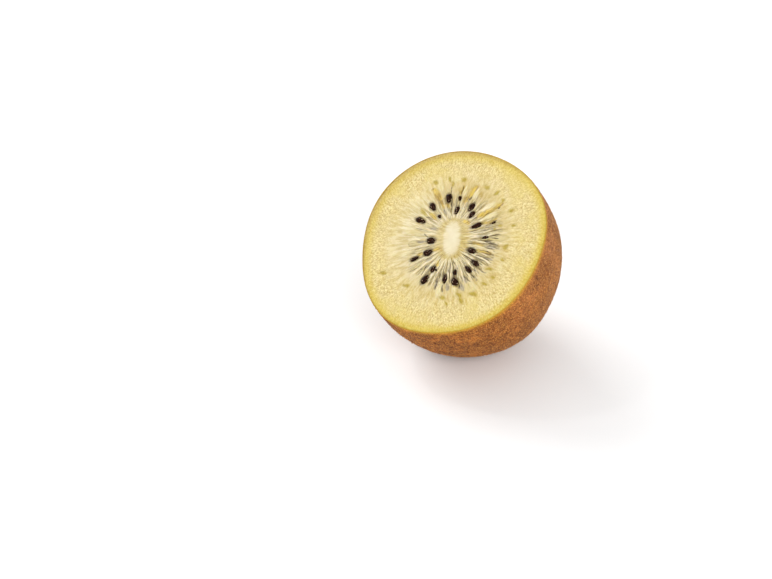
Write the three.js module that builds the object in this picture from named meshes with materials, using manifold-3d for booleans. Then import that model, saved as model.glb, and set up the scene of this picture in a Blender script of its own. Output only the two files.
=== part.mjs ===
// Golden kiwi fruit cut across, lying on its skin with the cut face leaning forward and up.
// Millimetres, +Z up, the cut face leans towards -Y. The origin is the middle of the small flat
// spot that the fruit rests on.

import * as THREE from 'three';
import { mergeVertices } from 'three/addons/utils/BufferGeometryUtils.js';
import Module from 'manifold-3d';

// Driving dimensions of the whole fruit and of the cut. The knife passed a little askew, so the
// fruit's axis leans from square to the cut by axisLean for each millimetre along it.
const fruitRadius = 27.1;
const fruitHalfLength = 36.4;
const profilePower = 2.4;
const cutPastWaist = 3.8;
const axisLean = 0.064;
const faceTilt = THREE.MathUtils.degToRad(36.7);
const flatSpotDepth = 0.35;

// The fruit isn't quite round: low lobes run round it, each with its count, its height and the
// angle of one crest on the cut face
const outlineLobes = [
  { count: 3, height: 0.38, crest: 32.7 },
  { count: 4, height: 0.27, crest: -25.3 },
  { count: 5, height: 0.17, crest: -32.4 },
];

// Stem end: a shallow dimple with a woody button in it
const dimpleRadius = 5.5;
const dimpleDepth = 1.1;
const buttonRadius = 2.6;
const buttonHeight = 1.0;

// Cut face: pale core, a little proud and off centre, with thin walls between the seed chambers.
// The walls run as spokes from a short line through the core.
const coreCentre = new THREE.Vector2(-0.2, 0.6);
const coreHalfLength = 5.3;
const coreHalfWidth = 2.6;
const coreAngle = THREE.MathUtils.degToRad(-63);
const coreRise = 0.3;
const coreLineHalfLength = 4.4;
const coreLineHalfWidth = 0.6;
const chamberCount = 36;
const chamberOuter = 16.5;
const chamberDepth = 0.35;
const chamberFade = 3.0;

// Where the core's shoulder falls away and where the chambers begin, in shares of the core's half
// length and half width
const shoulderFrom = 0.6;
const shoulderTo = 1.3;
const chamberFrom = 1.2;
const chamberFull = 1.9;

// Seeds on the cut face: place, length and width, and the turn in degrees away from pointing at
// the middle of the face
const seeds = [
  { x: -7.6, y: 10.6, length: 2.6, width: 1.7, turn: -10 },
  { x: -4.5, y: 11.8, length: 1.3, width: 0.8, turn: 0 },
  { x: -3.4, y: 8.4, length: 2.3, width: 1.1, turn: -20 },
  { x: 0.1, y: 10.8, length: 2.6, width: 1.5, turn: -10 },
  { x: 1.3, y: 8.9, length: 2.2, width: 1.3, turn: -10 },
  { x: 4.4, y: 6.7, length: 3.0, width: 1.4, turn: -11 },
  { x: 6.9, y: -0.2, length: 2.5, width: 1.4, turn: 8 },
  { x: 9.8, y: -2.8, length: 2.5, width: 1.4, turn: 7 },
  { x: 9.1, y: -5.2, length: 2.1, width: 1.3, turn: 0 },
  { x: 5.9, y: -7.5, length: 1.4, width: 0.9, turn: -14 },
  { x: 7.2, y: -9.8, length: 2.7, width: 1.7, turn: 16 },
  { x: 4.1, y: -10.1, length: 2.4, width: 1.2, turn: 0 },
  { x: -1.2, y: -12.7, length: 2.9, width: 1.6, turn: 0 },
  { x: -0.5, y: -9.2, length: 2.0, width: 1.2, turn: 0 },
  { x: -7.3, y: -8.7, length: 2.5, width: 1.0, turn: 0 },
  { x: -4.6, y: -5.6, length: 2.6, width: 1.8, turn: 0 },
  { x: -5.6, y: -2.2, length: 2.6, width: 1.8, turn: 10 },
  { x: -11.8, y: 1.7, length: 3.0, width: 1.5, turn: 14 },
  { x: -10.6, y: 6.5, length: 2.5, width: 1.6, turn: -5 },
];
const seedThickness = 1.6;
const seedPoint = 0.35;
const seedSink = 0.15;

// Fineness of the mesh
const roundSteps = 3 * chamberCount;
const skinSteps = 20;
const faceSteps = 15;
const faceStepPower = 1.25;
const seedRoundSteps = 8;
const seedLengthSteps = 6;
const rounding = 1e-4;

const fleshColour = 0xe3c877;
const fleshRoughness = 0.5;

const wasm = await Module();
wasm.setup();

// Radius of the plain fruit at a height above the waist
function radiusAt(height) {
  return fruitRadius * Math.sqrt(1 - Math.abs(height / fruitHalfLength) ** profilePower);
}

// How far the stem end sinks, or its button stands out, at a distance from the fruit's axis
function stemEndShift(radius) {
  const dimple = dimpleDepth * Math.exp(-((radius / dimpleRadius) ** 4));
  const button = buttonHeight * Math.exp(-((radius / buttonRadius) ** 6));
  return dimple - button;
}

// Half outline from the stem end, over the skin to the cut, and back over the cut to its middle
function halfOutline() {
  const points = [];
  const cutAngle = Math.acos(-cutPastWaist / fruitHalfLength);
  for (let i = 0; i <= skinSteps; i += 1) {
    const angle = (cutAngle * i) / skinSteps;
    const height = -fruitHalfLength * Math.cos(angle);
    const radius = i === 0 ? 0 : radiusAt(height);
    points.push(new THREE.Vector2(radius, height + stemEndShift(radius)));
  }
  const cutRadius = radiusAt(cutPastWaist);
  for (let i = 1; i <= faceSteps; i += 1) {
    const radius = cutRadius * (1 - i / faceSteps) ** faceStepPower;
    points.push(new THREE.Vector2(radius, cutPastWaist));
  }
  return points;
}

function lobeHeight(angle) {
  let height = 0;
  for (const lobe of outlineLobes) {
    const crest = THREE.MathUtils.degToRad(lobe.crest);
    height += lobe.height * Math.cos(lobe.count * (angle - crest));
  }
  return height;
}

// Point of the cut face on the spoke that runs from the line through the core to the rim at an
// angle. The share is 0 at the core's line and 1 at the rim.
function spokePoint(angle, share, rimRadius) {
  const lineAngle = angle - coreAngle;
  const start = new THREE.Vector2(
    coreLineHalfLength * Math.cos(lineAngle),
    coreLineHalfWidth * Math.sin(lineAngle),
  );
  start.rotateAround(new THREE.Vector2(), coreAngle).add(coreCentre);
  const rim = new THREE.Vector2(rimRadius * Math.cos(angle), rimRadius * Math.sin(angle));
  return start.lerp(rim, share);
}

// Height of the cut face above the knife's plane: the core rises, the seed chambers have sunk
// between their thin walls
function faceRelief(point, angle) {
  const fromCore = point.clone().sub(coreCentre).rotateAround(new THREE.Vector2(), -coreAngle);
  const coreShare = Math.hypot(fromCore.x / coreHalfLength, fromCore.y / coreHalfWidth);
  const core = coreRise * (1 - THREE.MathUtils.smoothstep(coreShare, shoulderFrom, shoulderTo));
  const opens = THREE.MathUtils.smoothstep(coreShare, chamberFrom, chamberFull);
  const fadeFrom = chamberOuter - chamberFade;
  const closes = 1 - THREE.MathUtils.smoothstep(point.length(), fadeFrom, chamberOuter);
  const wall = Math.max(0, Math.cos(chamberCount * angle));
  return core - chamberDepth * opens * closes * (1 - wall);
}

// The fruit upright, with its stem end down and its cut level
function fruitGeometry() {
  const geometry = new THREE.LatheGeometry(halfOutline(), roundSteps);
  geometry.rotateX(Math.PI / 2);
  const position = geometry.attributes.position;
  const cutRadius = radiusAt(cutPastWaist);
  for (let i = 0; i < position.count; i += 1) {
    const x = position.getX(i);
    const y = position.getY(i);
    const z = position.getZ(i);
    const angle = Math.atan2(y, x);
    const swell = 1 + lobeHeight(angle) / fruitRadius;
    const share = Math.hypot(x, y) / cutRadius;
    const onFace = z > cutPastWaist - rounding && share < 1 - rounding;
    if (onFace) {
      const isMiddle = share < rounding;
      const point = isMiddle ? coreCentre : spokePoint(angle, share, cutRadius * swell);
      position.setXYZ(i, point.x, point.y, z + faceRelief(point, angle));
    } else {
      position.setXYZ(i, x * swell, y * swell + axisLean * (z - cutPastWaist), z);
    }
  }
  return geometry;
}

// One seed: a flat drop whose narrow end points at the middle of the face
function seedGeometry(seed) {
  const geometry = new THREE.SphereGeometry(1, seedRoundSteps, seedLengthSteps);
  geometry.rotateZ(Math.PI / 2);
  const position = geometry.attributes.position;
  for (let i = 0; i < position.count; i += 1) {
    const along = position.getX(i);
    const narrow = 1 + seedPoint * along;
    position.setY(i, position.getY(i) * narrow);
    position.setZ(i, position.getZ(i) * narrow);
  }
  geometry.scale(seed.length / 2, seed.width / 2, seedThickness / 2);
  geometry.rotateZ(Math.atan2(seed.y, seed.x) + THREE.MathUtils.degToRad(seed.turn));
  geometry.translate(seed.x, seed.y, cutPastWaist - seedSink);
  return geometry;
}

// A solid from a closed geometry, with shared corners and no collapsed triangles
function solidOf(geometry) {
  geometry.deleteAttribute('normal');
  geometry.deleteAttribute('uv');
  const merged = mergeVertices(geometry);
  const corners = merged.index.array;
  const kept = [];
  for (let i = 0; i < corners.length; i += 3) {
    const [a, b, c] = corners.slice(i, i + 3);
    if (a !== b && b !== c && c !== a) {
      kept.push(a, b, c);
    }
  }
  return new wasm.Manifold(new wasm.Mesh({
    numProp: 3,
    vertProperties: new Float32Array(merged.attributes.position.array),
    triVerts: new Uint32Array(kept),
  }));
}

function geometryOf(solid) {
  const mesh = solid.getMesh();
  const geometry = new THREE.BufferGeometry();
  geometry.setAttribute('position', new THREE.Float32BufferAttribute(mesh.vertProperties, 3));
  geometry.setIndex(new THREE.Uint32BufferAttribute(mesh.triVerts, 1));
  return geometry;
}

// Tilts the cut fruit and lowers it until the resting spot is the wanted depth below the ground
function tiltedFruit() {
  let fruit = solidOf(fruitGeometry());
  for (const seed of seeds) {
    fruit = fruit.add(solidOf(seedGeometry(seed)));
  }
  const geometry = geometryOf(fruit);
  geometry.rotateX(faceTilt);
  geometry.computeBoundingBox();
  geometry.translate(0, 0, -geometry.boundingBox.min.z - flatSpotDepth);
  return geometry;
}

// Cuts the resting spot flat
function withFlatSpot(geometry) {
  const blockSide = 4 * fruitRadius;
  const block = new THREE.BoxGeometry(blockSide, blockSide, blockSide);
  block.translate(0, 0, -blockSide / 2);
  return geometryOf(solidOf(geometry).subtract(solidOf(block)));
}

// Moves the middle of the flat spot to the origin
function centredOnFlatSpot(geometry) {
  const position = geometry.attributes.position;
  const spot = new THREE.Box3();
  for (let i = 0; i < position.count; i += 1) {
    const corner = new THREE.Vector3().fromBufferAttribute(position, i);
    if (corner.z < rounding) {
      spot.expandByPoint(corner);
    }
  }
  const middle = spot.getCenter(new THREE.Vector3());
  geometry.translate(-middle.x, -middle.y, 0);
  return geometry;
}

function kiwiHalf() {
  const geometry = centredOnFlatSpot(withFlatSpot(tiltedFruit()));
  geometry.computeVertexNormals();
  const material = new THREE.MeshStandardMaterial({
    color: fleshColour,
    roughness: fleshRoughness,
    metalness: 0,
  });
  const mesh = new THREE.Mesh(geometry, material);
  mesh.name = 'kiwi_half';
  return mesh;
}

const kiwi = new THREE.Group();
kiwi.add(kiwiHalf());

export default kiwi;
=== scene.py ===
"""Looks of a golden kiwi fruit cut across: its skin, down, cut flesh and seeds, round the solid."""

import math
import random

import bmesh
import bpy
import numpy as np
from mathutils import Matrix, Vector, noise


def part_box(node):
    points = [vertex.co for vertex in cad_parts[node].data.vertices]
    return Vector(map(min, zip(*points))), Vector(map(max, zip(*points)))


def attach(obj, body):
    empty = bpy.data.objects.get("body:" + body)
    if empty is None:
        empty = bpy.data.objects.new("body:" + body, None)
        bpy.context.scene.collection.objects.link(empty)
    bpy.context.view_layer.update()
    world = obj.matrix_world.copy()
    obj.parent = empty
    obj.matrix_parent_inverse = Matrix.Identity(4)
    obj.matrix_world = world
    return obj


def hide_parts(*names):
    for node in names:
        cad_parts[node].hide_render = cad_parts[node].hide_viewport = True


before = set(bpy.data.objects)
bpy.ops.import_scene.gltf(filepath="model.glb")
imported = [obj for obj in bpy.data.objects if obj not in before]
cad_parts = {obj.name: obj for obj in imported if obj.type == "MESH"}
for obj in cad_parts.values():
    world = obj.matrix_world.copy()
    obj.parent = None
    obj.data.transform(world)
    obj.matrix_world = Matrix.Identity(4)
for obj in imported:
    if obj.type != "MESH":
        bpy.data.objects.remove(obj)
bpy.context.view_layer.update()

MM = 0.001
NODE = "kiwi_half"
BODY = "root"

# The fruit as the solid has it, in millimetres and radians
FRUIT_RADIUS = 27.1
FRUIT_HALF_LENGTH = 36.4
PROFILE_POWER = 2.4
CUT_PAST_WAIST = 3.8
AXIS_LEAN = 0.064
FACE_TILT = math.radians(36.7)
OUTLINE_LOBES = ((3, 0.38, 32.7), (4, 0.27, -25.3), (5, 0.17, -32.4))
DIMPLE_RADIUS, DIMPLE_DEPTH = 5.5, 1.1
BUTTON_RADIUS, BUTTON_HEIGHT = 2.6, 1.0
BUTTON_RIPPLES, RIPPLE_HEIGHT = 9, 0.10

# The core on the cut face, and the seed chambers that stand round it
CORE_MIDDLE = (-0.2, 0.6)
CORE_HALF_LENGTH, CORE_HALF_WIDTH = 5.3, 2.6
CORE_TURN = math.radians(-63)
CHAMBER_COUNT = 36

# The skin is a thin peel. At the cut the flesh starts just inside its outside, and lower down the
# flesh keeps a gap from its inside. The cut edge of the peel stands up a little.
PEEL = 0.30
FLESH_DEPTH = 0.14
FLESH_GAP = 0.1
LIP_CROWN, LIP_INSIDE = 0.03, 0.02
# Hidden layers start just below the cut, run deeper under the dimple and stay above the table
HIDDEN_START = 0.985
STEM_CLEARANCE = 1.2
PEEL_FLOOR, FLESH_FLOOR = 0.12, 0.2
# The skin's uneven growth pushes it out from here
GROWTH_MIDDLE = (0.0, 0.0, -8.0)

# Seeds that show whole, as the solid has them: place, length, width, and turn in degrees from
# pointing at the middle of the face
SEEDS = (
    (-7.6, 10.6, 2.6, 1.7, -10), (-4.5, 11.8, 1.3, 0.8, 0), (-3.4, 8.4, 2.3, 1.1, -20),
    (0.1, 10.8, 2.6, 1.5, -10), (1.3, 8.9, 2.2, 1.3, -10), (4.4, 6.7, 3.0, 1.4, -11),
    (6.9, -0.2, 2.5, 1.4, 8), (9.8, -2.8, 2.5, 1.4, 7), (9.1, -5.2, 2.1, 1.3, 0),
    (5.9, -7.5, 1.4, 0.9, -14), (7.2, -9.8, 2.7, 1.7, 16), (4.1, -10.1, 2.4, 1.2, 0),
    (-1.2, -12.7, 2.9, 1.6, 0), (-0.5, -9.2, 2.0, 1.2, 0), (-7.3, -8.7, 2.5, 1.0, 0),
    (-4.6, -5.6, 2.6, 1.8, 0), (-5.6, -2.2, 2.6, 1.8, 10), (-11.8, 1.7, 3.0, 1.5, 14),
    (-10.6, 6.5, 2.5, 1.6, -5),
)
SEED_THICKNESS = 1.5
SEED_POINT = 0.35
SEED_SINK = 0.30
# Seeds of which only the back breaks through the flesh: place, length, width and sink
BURIED_SEEDS = (
    (8.3, 4.6, 2.9, 1.1, 0.62), (8.5, 9.4, 1.7, 0.7, 0.62),
    (-7.1, 4.7, 1.9, 1.2, 0.62), (8.0, -5.0, 1.3, 0.9, 0.60), (0.3, -9.0, 1.3, 0.9, 0.62),
)
# Amber stretches where a seed stalk was: both ends and the width
AMBER = (
    (3.2, 9.1, 5.2, 10.9, 1.1), (5.2, 10.9, 6.7, 13.0, 1.2), (6.7, 13.0, 7.9, 15.1, 1.2),
    (5.2, 7.7, 7.2, 8.8, 1.0), (7.2, 8.8, 8.8, 10.5, 1.0), (-2.5, 11.5, -2.1, 14.0, 0.9),
    (-2.1, 14.0, -1.7, 16.4, 1.5), (-5.0, 13.0, -5.1, 15.0, 0.8), (-7.2, 7.4, -10.0, 9.6, 0.7),
    (-9.6, 9.3, -12.7, 11.0, 1.6), (0.3, 6.6, 2.0, 6.4, 1.3), (8.2, 0.5, 12.6, 1.2, 0.9),
    (6.3, 2.1, 9.2, 2.3, 0.8), (-4.0, -4.7, -2.2, -3.6, 0.9), (-0.4, -6.8, 0.1, -8.0, 1.0),
    (-6.0, -6.6, -6.9, -7.4, 0.9), (-10.0, 4.5, -8.0, 4.0, 1.1), (-6.9, 8.9, -6.3, 8.3, 1.1),
    (8.0, -11.2, 8.6, -10.2, 0.7),
)
# Pale swollen pulp beside them: middle, length, width and turn in degrees
SWELLINGS = (
    (4.9, 12.1, 6.6, 2.3, 62), (6.7, 10.6, 5.0, 1.7, 52), (-11.5, 12.9, 5.6, 1.8, -52),
    (-0.6, 14.6, 4.4, 1.4, 84), (-4.0, 14.2, 4.0, 1.3, -82), (8.3, 1.6, 5.4, 0.9, 10),
    (4.6, -14.0, 4.6, 1.9, -72), (8.8, -12.1, 4.6, 1.6, -55), (-12.6, -2.2, 7.5, 2.6, 6),
    (-11.5, -8.9, 6.0, 2.6, 30), (12.9, -9.0, 4.2, 1.5, -28), (-14.2, 6.2, 6.5, 2.2, -20),
)
# Olive ends of the vessels that run along the fruit: middle, length, width and turn in degrees
VESSELS = (
    (15.7, 4.6, 1.7, 1.4, 60), (14.5, -2.9, 2.5, 0.9, 15), (15.5, -7.0, 2.0, 0.8, 0),
    (14.1, -10.9, 2.6, 1.2, 10), (10.6, -12.8, 1.8, 1.0, -20), (12.0, -13.9, 2.0, 1.1, -30),
    (6.7, -15.3, 1.9, 1.2, 0), (8.6, -16.4, 1.5, 0.9, -40), (-5.2, -16.5, 2.3, 1.0, 15),
    (-12.3, 4.1, 3.0, 1.2, -25), (-6.2, 17.0, 1.6, 1.4, 0), (1.3, 17.6, 1.8, 1.4, 0),
    (5.0, 17.3, 1.9, 1.1, 60), (7.6, 16.1, 1.3, 1.0, 0), (10.9, 9.4, 1.5, 1.0, 30),
    (11.5, 14.4, 1.8, 1.2, 45), (14.5, 10.8, 1.4, 0.9, 30), (9.8, 7.9, 1.0, 0.8, 30),
    (17.0, -4.4, 1.5, 0.9, 0), (-8.6, 14.6, 1.7, 0.9, -60), (-13.7, 13.1, 1.8, 1.4, 0),
    (-10.3, 15.6, 1.8, 1.0, -50), (16.8, 1.0, 1.4, 0.8, 0), (-13.5, -16.0, 2.2, 1.2, 20),
)
# Clear grey jelly: middle, length, width and turn in degrees
JELLY_SPOTS = (
    (11.5, 2.9, 3.8, 1.5, 12), (-8.1, -3.8, 2.8, 1.0, 22), (-2.2, -9.3, 2.6, 1.4, 10),
    (-7.1, 4.8, 2.2, 1.3, -30), (-6.6, 6.9, 3.4, 1.3, -35), (2.5, 8.4, 1.5, 1.1, 20),
    (-6.6, 1.0, 3.4, 1.3, 12), (6.9, 4.4, 2.4, 1.0, 25), (8.0, 8.0, 3.0, 0.9, 38),
    (13.0, -0.4, 3.2, 0.9, 8), (9.5, -8.1, 3.4, 1.2, -30), (6.2, -12.0, 3.0, 1.3, -60),
    (10.2, -10.4, 3.2, 1.5, -35), (2.6, -12.4, 4.0, 1.1, -72), (-3.2, -7.2, 2.6, 1.2, 60),
)
# Thin clefts that stay open between pulp and wall, drawn near black as painted shade in them: both ends and
# the width
CLEFTS = (
    (-4.7, 7.5, -6.3, 10.3, 0.42), (-6.3, 10.3, -8.9, 14.3, 0.30), (2.1, -11.0, 3.3, -14.0, 0.40),
    (-2.8, -9.0, -2.8, -12.1, 0.30), (8.9, -0.9, 11.9, -0.3, 0.34), (-7.0, -1.8, -8.5, -1.4, 0.28),
    (-10.8, 3.3, -8.4, 3.3, 0.26), (10.3, -4.2, 11.3, -4.8, 0.42), (10.4, -6.1, 13.0, -6.9, 0.40),
    (10.2, 5.2, 12.4, 5.8, 0.42), (7.8, 8.9, 9.2, 10.0, 0.42), (8.8, -10.0, 9.8, -11.1, 0.36),
    (-1.6, 12.5, -1.4, 13.4, 0.45), (9.0, -7.5, 11.6, -8.2, 0.34), (4.6, -12.4, 5.6, -13.8, 0.34),
    (7.6, 13.3, 8.0, 13.9, 0.40), (6.4, 6.0, 9.6, 7.7, 0.30), (7.6, 3.6, 13.4, 4.3, 0.34),
    (12.0, -3.9, 14.4, -4.3, 0.34), (-4.7, 12.9, -5.4, 15.2, 0.26), (7.0, -8.6, 5.4, -6.4, 0.26),
)


def linear(code):
    """A colour written as six sRGB hex digits, as Blender's linear colour."""
    channels = [int(code[i:i + 2], 16) / 255 for i in (0, 2, 4)]
    return tuple(c / 12.92 if c <= 0.04045 else ((c + 0.055) / 1.055) ** 2.4 for c in channels) + (1.0,)


def smooth_step(value, low, high):
    """0 up to the low value, 1 from the high one, and a soft rise between them."""
    share = np.clip((value - low) / (high - low), 0, 1)
    return share * share * (3 - 2 * share)


# Form of the fruit, upright: stem end down, the knife's cut level, millimetres

def outline_swell(angle):
    """How much the lobes widen the fruit at an angle round its axis."""
    swell = np.ones_like(angle)
    for count, height, crest in OUTLINE_LOBES:
        swell += height / FRUIT_RADIUS * np.cos(count * (angle - math.radians(crest)))
    return swell


def profile(share):
    """Radius and height of the smooth fruit. A share of 0 is the stem end, and 1 is the cut."""
    turn = share * math.acos(-CUT_PAST_WAIST / FRUIT_HALF_LENGTH)
    height = -FRUIT_HALF_LENGTH * np.cos(turn)
    inside = np.clip(1 - np.abs(height / FRUIT_HALF_LENGTH) ** PROFILE_POWER, 0, 1)
    return FRUIT_RADIUS * np.sqrt(inside), height


def stem_end_shift(radius):
    """How far the stem end sinks, or its woody button stands out, at a distance from the axis."""
    dimple = DIMPLE_DEPTH * np.exp(-((radius / DIMPLE_RADIUS) ** 4))
    button = BUTTON_HEIGHT * np.exp(-((radius / BUTTON_RADIUS) ** 6))
    return dimple - button


def axis_shift(height):
    """How far the leaning axis of the fruit is off to the side at a height."""
    return AXIS_LEAN * (height - CUT_PAST_WAIST)


def fruit_layer(angles, shares, depth):
    """A net of points on the fruit a depth below its skin: one row for each share."""
    step = 1e-3
    radius, height = profile(shares)
    radius_after, height_after = profile(shares + step)
    radius_before, height_before = profile(shares - step)
    along = np.stack([radius_after - radius_before, height_after - height_before], -1)
    along[shares < step] = (1, 0)
    along /= np.linalg.norm(along, axis=-1, keepdims=True)
    out_radius, out_height = along[:, 1], -along[:, 0]
    inner_radius = np.maximum(radius - depth * out_radius, 0)
    inner_height = height - depth * out_height + stem_end_shift(radius)
    around = inner_radius[:, None] * outline_swell(angles)[None]
    return np.stack([
        around * np.cos(angles),
        around * np.sin(angles) + axis_shift(inner_height)[:, None],
        np.repeat(inner_height[:, None], len(angles), 1),
    ], -1)


def under_stem(shares, depth):
    """Depth of a hidden layer, which keeps well clear of the dimple at the stem end."""
    clear = smooth_step(profile(shares)[0], DIMPLE_RADIUS * 0.9, DIMPLE_RADIUS * 1.8)
    return depth + STEM_CLEARANCE * (1 - clear)


def stem_tip(depth):
    """The lowest point of the upright fruit, a depth under its skin."""
    height = -FRUIT_HALF_LENGTH + stem_end_shift(0.0) + depth
    return np.array([[0.0, axis_shift(height), height]])


def tilted(points):
    """Points of the upright fruit, with the cut face tilted as the fruit lies."""
    sine, cosine = math.sin(FACE_TILT), math.cos(FACE_TILT)
    x, y, z = points[..., 0], points[..., 1], points[..., 2]
    return np.stack([x, y * cosine - z * sine, y * sine + z * cosine], -1)


def seat_of_fruit():
    """Where the upright fruit's waist goes, so that the fruit fills the solid's own box."""
    angles = np.linspace(0, 2 * math.pi, 720, endpoint=False)
    outside = tilted(fruit_layer(angles, np.linspace(0, 1, 240), 0.0)).reshape(-1, 3)
    low, high = (np.array(corner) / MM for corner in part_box(NODE))
    middle = (low + high - outside.min(0) - outside.max(0)) / 2
    return np.array((middle[0], middle[1], high[2] - outside[:, 2].max()))


SEAT = seat_of_fruit()


def in_frame(points, floor=0.0):
    """Points of the upright fruit in the shared frame, in metres, pressed flat where it rests."""
    placed = tilted(points) + SEAT
    placed[..., 2] = np.maximum(placed[..., 2], floor)
    return placed * MM


def grain(points, size, octaves=3):
    """Uneven field from about -1 to 1 whose lumps are about a size across, in millimetres."""
    flat = points.reshape(-1, 3) / size
    values = [noise.fractal(Vector(p), 1.0, 2.0, octaves) for p in flat]
    return np.array(values).reshape(points.shape[:-1])


# Meshes

def make_piece(name, vertices, faces, material, masks=None):
    """A smooth mesh piece in the shared frame, with its masks as attributes for its material."""
    mesh = bpy.data.meshes.new(name)
    mesh.from_pydata(vertices.reshape(-1, 3).tolist(), [], faces)
    mesh.update()
    for key, values in (masks or {}).items():
        kind, field = ("FLOAT_VECTOR", "vector") if values.ndim == 2 else ("FLOAT", "value")
        attribute = mesh.attributes.new(key, kind, "POINT")
        attribute.data.foreach_set(field, values.astype(np.float32).ravel())
    mesh.polygons.foreach_set("use_smooth", [True] * len(mesh.polygons))
    mesh.materials.append(material)
    piece = bpy.data.objects.new(name, mesh)
    bpy.context.scene.collection.objects.link(piece)
    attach(piece, BODY)
    return piece


def net_faces(rows, columns, first=0):
    """Quads between rows of points that each close into a ring."""
    faces = []
    for row in range(rows - 1):
        start = first + row * columns
        for column in range(columns):
            after = (column + 1) % columns
            faces.append((start + column, start + after, start + columns + after, start + columns + column))
    return faces


def fan_faces(centre, ring_start, columns, flip=False):
    """Triangles from one point to a ring of points."""
    faces = []
    for column in range(columns):
        corner = (centre, ring_start + column, ring_start + (column + 1) % columns)
        faces.append(corner[::-1] if flip else corner)
    return faces


# Node materials

# Sockets of a colour mix, whose names repeat: the share, the two colours and the mixed colour
MIX_SHARE, MIX_FIRST, MIX_SECOND, MIXED = 0, 6, 7, 2


def add(tree, kind, settings=None, inputs=None, output=0):
    """Adds a node with its settings and links, and gives back one of its outputs if it has any."""
    node = tree.nodes.new(kind)
    for key, value in (settings or {}).items():
        setattr(node, key, value)
    for key, value in (inputs or {}).items():
        if isinstance(value, bpy.types.NodeSocket):
            tree.links.new(value, node.inputs[key])
        else:
            node.inputs[key].default_value = value
    return node.outputs[output] if node.outputs else None


def start_material(name, grains):
    """A node material and its patterns of soft noise. Each has its layout, its size in mm, its
    octaves and how strong the finer ones are. The layout is None for the place itself, or the
    attribute that follows the growth of the fruit."""
    material = bpy.data.materials.new(name)
    material.use_nodes = True
    tree = material.node_tree
    tree.nodes.clear()
    place = add(tree, "ShaderNodeTexCoord", output="Object")
    place = add(tree, "ShaderNodeVectorMath", {"operation": "SCALE"}, {0: place, "Scale": 1 / MM})
    patterns = {}
    for key, (layout, size, detail, roughness) in grains.items():
        vector = place
        if layout:
            vector = add(tree, "ShaderNodeAttribute", {"attribute_name": layout}, output="Vector")
        patterns[key] = add(tree, "ShaderNodeTexNoise", {}, {
            "Vector": vector, "Scale": 1 / size, "Detail": detail, "Roughness": roughness,
        })
    return material, tree, patterns


def lay_colours(tree, patterns, layers):
    """Lays colours over each other. A layer holds its mask, its amount, its pattern with two values,
    and its colours. Between the values the pattern turns the first colour into the second, or, with
    only one colour, lets it come through."""
    colour = None
    for mask, amount, pattern, low, high, first, second in layers:
        share = add(tree, "ShaderNodeMapRange", {"interpolation_type": "SMOOTHSTEP"}, {
            "Value": patterns[pattern], "From Min": low, "From Max": high,
        })
        factors = [amount]
        if mask:
            factors.append(add(tree, "ShaderNodeAttribute", {"attribute_name": mask}, output="Fac"))
        if second:
            tone = add(tree, "ShaderNodeMix", {"data_type": "RGBA"}, {
                MIX_SHARE: share, MIX_FIRST: linear(first), MIX_SECOND: linear(second),
            }, MIXED)
        else:
            tone = linear(first)
            factors.append(share)
        if colour is None:
            colour = tone
            continue
        cover = factors[0]
        for factor in factors[1:]:
            cover = add(tree, "ShaderNodeMath", {"operation": "MULTIPLY"}, {0: factor, 1: cover})
        colour = add(tree, "ShaderNodeMix", {"data_type": "RGBA"}, {
            MIX_SHARE: cover, MIX_FIRST: colour, MIX_SECOND: tone,
        }, MIXED)
    return colour


def finish_material(tree, colour, roughness, relief, settings):
    """Ends a material in one Principled shader. Roughness is a pattern with its lowest and highest
    roughness. Relief holds patterns, each with its depth in mm and the mask of where it is."""
    normal = None
    for pattern, depth, mask in relief:
        inputs = {"Height": pattern, "Strength": 1.0, "Distance": depth * MM}
        if mask:
            inputs["Strength"] = add(
                tree, "ShaderNodeAttribute", {"attribute_name": mask}, output="Fac")
        if normal:
            inputs["Normal"] = normal
        normal = add(tree, "ShaderNodeBump", {}, inputs)
    pattern, low, high = roughness
    rough = add(tree, "ShaderNodeMapRange", {}, {
        "Value": pattern, "From Min": 0.3, "From Max": 0.7, "To Min": low, "To Max": high,
    })
    inputs = {"Base Color": colour, "Roughness": rough, **settings}
    if normal:
        inputs["Normal"] = normal
    shader = add(tree, "ShaderNodeBsdfPrincipled", {}, inputs)
    add(tree, "ShaderNodeOutputMaterial", {}, {"Surface": shader})


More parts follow.
